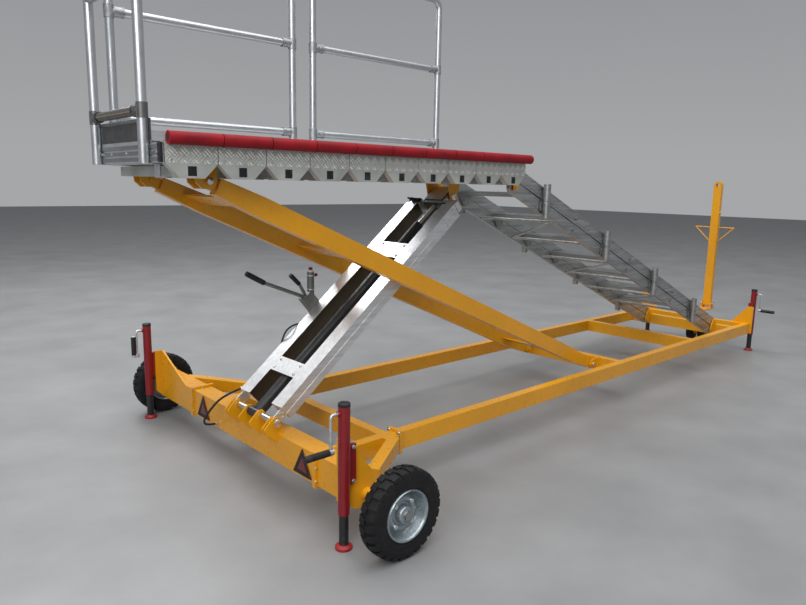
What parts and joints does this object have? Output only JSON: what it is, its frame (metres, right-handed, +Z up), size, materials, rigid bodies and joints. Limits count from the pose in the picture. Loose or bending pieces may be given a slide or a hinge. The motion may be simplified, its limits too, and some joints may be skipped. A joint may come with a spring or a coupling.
{
  "type": "towable hydraulic access platform",
  "caption": "Level work platform on lift arms and a telescopic mast, on a braced two-rail frame with rear wheels, screw jacks, tow bar and self-levelling stair.",
  "frame": {"origin": "on the floor under the middle of the whole machine", "axes": "+X forward to the tow bar, +Y to the guardrail side, +Z up"},
  "size_m": [6.3882, 2.634, 2.901],
  "materials": {
    "yellow": "gloss paint",
    "red": "gloss paint",
    "black_steel": "satin",
    "zinc": "zinc plated",
    "silver": "satin",
    "tyre": "matte",
    "aluminium": "mill finish",
    "foam": "matte foam",
    "reflector": "moulded reflector",
    "hose": "satin",
    "grey_cast": "cast"
  },
  "bodies": {
    "chassis": {"rails": "yellow", "cross_members": "yellow", "front_end": "yellow", "rear_beam": "yellow", "near_outrigger": "yellow", "far_outrigger": "yellow", "jack_tubes": "red", "jack_cranks": "zinc", "reflectors": "reflector", "foot_hose": "hose"},
    "steering": {"steering_head": "yellow"},
    "front_wheels": {"front_wheels": "tyre"},
    "tow_bar": {"tow_bar": "yellow"},
    "near_wheel": {"near_tyre": "tyre", "near_rim": "silver"},
    "far_wheel": {"far_tyre": "tyre", "far_rim": "silver"},
    "lift": {"lift_arms": "yellow"},
    "mast": {"mast_outer": "aluminium", "mast_cylinder": "black_steel", "hand_pump": "grey_cast", "mast_hose": "hose"},
    "mast_stage": {"mast_inner": "aluminium"},
    "platform": {"platform_frame": "aluminium", "platform_lugs": "yellow", "toe_boards": "aluminium", "guardrails": "aluminium"},
    "stair_lower": {"lower_stringers": "aluminium"},
    "stair_upper": {"upper_stringers": "aluminium"},
    "jack_leg_near_rear": {"jack_leg_near_rear": "black_steel"},
    "jack_leg_far_rear": {"jack_leg_far_rear": "black_steel"},
    "jack_leg_near_front": {"jack_leg_near_front": "black_steel"},
    "jack_leg_far_front": {"jack_leg_far_front": "black_steel"},
    "plank_01": {"plank_01": "zinc", "bumper_01": "foam"},
    "plank_02": {"plank_02": "zinc", "bumper_02": "foam"},
    "plank_03": {"plank_03": "zinc", "bumper_03": "foam"},
    "plank_04": {"plank_04": "zinc", "bumper_04": "foam"},
    "plank_05": {"plank_05": "zinc", "bumper_05": "foam"},
    "plank_06": {"plank_06": "zinc", "bumper_06": "foam"},
    "plank_07": {"plank_07": "zinc", "bumper_07": "foam"},
    "plank_08": {"plank_08": "zinc", "bumper_08": "foam"},
    "plank_09": {"plank_09": "zinc", "bumper_09": "foam"},
    "plank_10": {"plank_10": "zinc", "bumper_10": "foam"},
    "tread_1": {"tread_1": "aluminium"},
    "tread_2": {"tread_2": "aluminium"},
    "tread_3": {"tread_3": "aluminium"},
    "tread_4": {"tread_4": "aluminium"},
    "tread_5": {"tread_5": "aluminium"},
    "tread_6": {"tread_6": "aluminium"},
    "tread_7": {"tread_7": "aluminium"}
  },
  "joints": [
    {"name": "lift", "type": "hinge", "parent": "chassis", "child": "lift", "pos_m": [0.309, -0.136, 0.25], "axis": [0, 1, 0], "range_deg": [0, 19.5]},
    {"name": "platform_level", "type": "hinge", "parent": "lift", "child": "platform", "pos_m": [-2.899, -0.136, 1.62], "axis": [0, 1, 0], "range_deg": [-19.6, 0.1]},
    {"name": "mast_pivot", "type": "hinge", "parent": "chassis", "child": "mast", "pos_m": [-2.491, -0.136, 0.372], "axis": [0, -1, 0], "range_deg": [-0.1, 6.87]},
    {"name": "mast_extension", "type": "slide", "parent": "mast", "child": "mast_stage", "axis": [0.7685, 0, 0.6398], "range_m": [-0.001, 1.1496]},
    {"name": "stair_lower_link", "type": "hinge", "parent": "chassis", "child": "stair_lower", "pos_m": [2.424, -0.136, 0.247], "axis": [0, 1, 0], "range_deg": [-0.1, 19.6]},
    {"name": "stair_upper_link", "type": "hinge", "parent": "chassis", "child": "stair_upper", "pos_m": [2.464, -0.136, 0.327], "axis": [0, 1, 0], "range_deg": [-0.1, 19.6]},
    {"name": "near_wheel_spin", "type": "hinge", "parent": "chassis", "child": "near_wheel", "pos_m": [-2.426, -1.264, 0.2075], "axis": [0, 1, 0], "continuous": true},
    {"name": "far_wheel_spin", "type": "hinge", "parent": "chassis", "child": "far_wheel", "pos_m": [-2.426, 1.264, 0.2075], "axis": [0, 1, 0], "continuous": true},
    {"name": "steering", "type": "hinge", "parent": "chassis", "child": "steering", "pos_m": [2.974, -0.136, 0.25], "axis": [0, 0, 1], "range_deg": [-60, 60]},
    {"name": "front_wheel_spin", "type": "hinge", "parent": "steering", "child": "front_wheels", "pos_m": [2.974, -0.136, 0.095], "axis": [0, 1, 0], "continuous": true},
    {"name": "tow_bar_fold", "type": "hinge", "parent": "steering", "child": "tow_bar", "pos_m": [3.154, -0.136, 0.385], "axis": [0, 1, 0], "range_deg": [0, 100]},
    {"name": "jack_near_rear", "type": "slide", "parent": "chassis", "child": "jack_leg_near_rear", "axis": [0, 0, 1], "range_m": [-0.1, 0.12]},
    {"name": "jack_far_rear", "type": "slide", "parent": "chassis", "child": "jack_leg_far_rear", "axis": [0, 0, 1], "range_m": [-0.1, 0.12]},
    {"name": "jack_near_front", "type": "slide", "parent": "chassis", "child": "jack_leg_near_front", "axis": [0, 0, 1], "range_m": [-0.1, 0.12]},
    {"name": "jack_far_front", "type": "slide", "parent": "chassis", "child": "jack_leg_far_front", "axis": [0, 0, 1], "range_m": [-0.1, 0.12]},
    {"name": "plank_slide_01", "type": "slide", "parent": "platform", "child": "plank_01", "axis": [0, -1, 0], "range_m": [0, 0.4]},
    {"name": "plank_slide_02", "type": "slide", "parent": "platform", "child": "plank_02", "axis": [0, -1, 0], "range_m": [0, 0.4]},
    {"name": "plank_slide_03", "type": "slide", "parent": "platform", "child": "plank_03", "axis": [0, -1, 0], "range_m": [0, 0.4]},
    {"name": "plank_slide_04", "type": "slide", "parent": "platform", "child": "plank_04", "axis": [0, -1, 0], "range_m": [0, 0.4]},
    {"name": "plank_slide_05", "type": "slide", "parent": "platform", "child": "plank_05", "axis": [0, -1, 0], "range_m": [0, 0.4]},
    {"name": "plank_slide_06", "type": "slide", "parent": "platform", "child": "plank_06", "axis": [0, -1, 0], "range_m": [0, 0.4]},
    {"name": "plank_slide_07", "type": "slide", "parent": "platform", "child": "plank_07", "axis": [0, -1, 0], "range_m": [0, 0.4]},
    {"name": "plank_slide_08", "type": "slide", "parent": "platform", "child": "plank_08", "axis": [0, -1, 0], "range_m": [0, 0.4]},
    {"name": "plank_slide_09", "type": "slide", "parent": "platform", "child": "plank_09", "axis": [0, -1, 0], "range_m": [0, 0.4]},
    {"name": "plank_slide_10", "type": "slide", "parent": "platform", "child": "plank_10", "axis": [0, -1, 0], "range_m": [0, 0.4]},
    {"name": "tread_level_1", "type": "hinge", "parent": "stair_lower", "child": "tread_1", "pos_m": [1.90751, -0.136, 0.46757], "axis": [0, 1, 0], "range_deg": [-19.6, 0.1]},
    {"name": "tread_level_2", "type": "hinge", "parent": "stair_lower", "child": "tread_2", "pos_m": [1.50747, -0.136, 0.63841], "axis": [0, 1, 0], "range_deg": [-19.6, 0.1]},
    {"name": "tread_level_3", "type": "hinge", "parent": "stair_lower", "child": "tread_3", "pos_m": [1.10744, -0.136, 0.80925], "axis": [0, 1, 0], "range_deg": [-19.6, 0.1]},
    {"name": "tread_level_4", "type": "hinge", "parent": "stair_lower", "child": "tread_4", "pos_m": [0.7074, -0.136, 0.98009], "axis": [0, 1, 0], "range_deg": [-19.6, 0.1]},
    {"name": "tread_level_5", "type": "hinge", "parent": "stair_lower", "child": "tread_5", "pos_m": [0.30736, -0.136, 1.15093], "axis": [0, 1, 0], "range_deg": [-19.6, 0.1]},
    {"name": "tread_level_6", "type": "hinge", "parent": "stair_lower", "child": "tread_6", "pos_m": [-0.09268, -0.136, 1.32177], "axis": [0, 1, 0], "range_deg": [-19.6, 0.1]},
    {"name": "tread_level_7", "type": "hinge", "parent": "stair_lower", "child": "tread_7", "pos_m": [-0.49271, -0.136, 1.4926], "axis": [0, 1, 0], "range_deg": [-19.6, 0.1]}
  ],
  "couplings": [
    {"joint": "platform_level", "follows": "lift", "ratio": -1},
    {"joint": "mast_pivot", "follows": "lift", "ratio": 0.34701},
    {"joint": "mast_extension", "follows": "lift", "m_per_rad": 3.3748},
    {"joint": "stair_lower_link", "follows": "lift", "ratio": 1},
    {"joint": "stair_upper_link", "follows": "lift", "ratio": 1},
    {"joint": "tread_level_1", "follows": "lift", "ratio": -1},
    {"joint": "tread_level_2", "follows": "lift", "ratio": -1},
    {"joint": "tread_level_3", "follows": "lift", "ratio": -1},
    {"joint": "tread_level_4", "follows": "lift", "ratio": -1},
    {"joint": "tread_level_5", "follows": "lift", "ratio": -1},
    {"joint": "tread_level_6", "follows": "lift", "ratio": -1},
    {"joint": "tread_level_7", "follows": "lift", "ratio": -1}
  ]
}
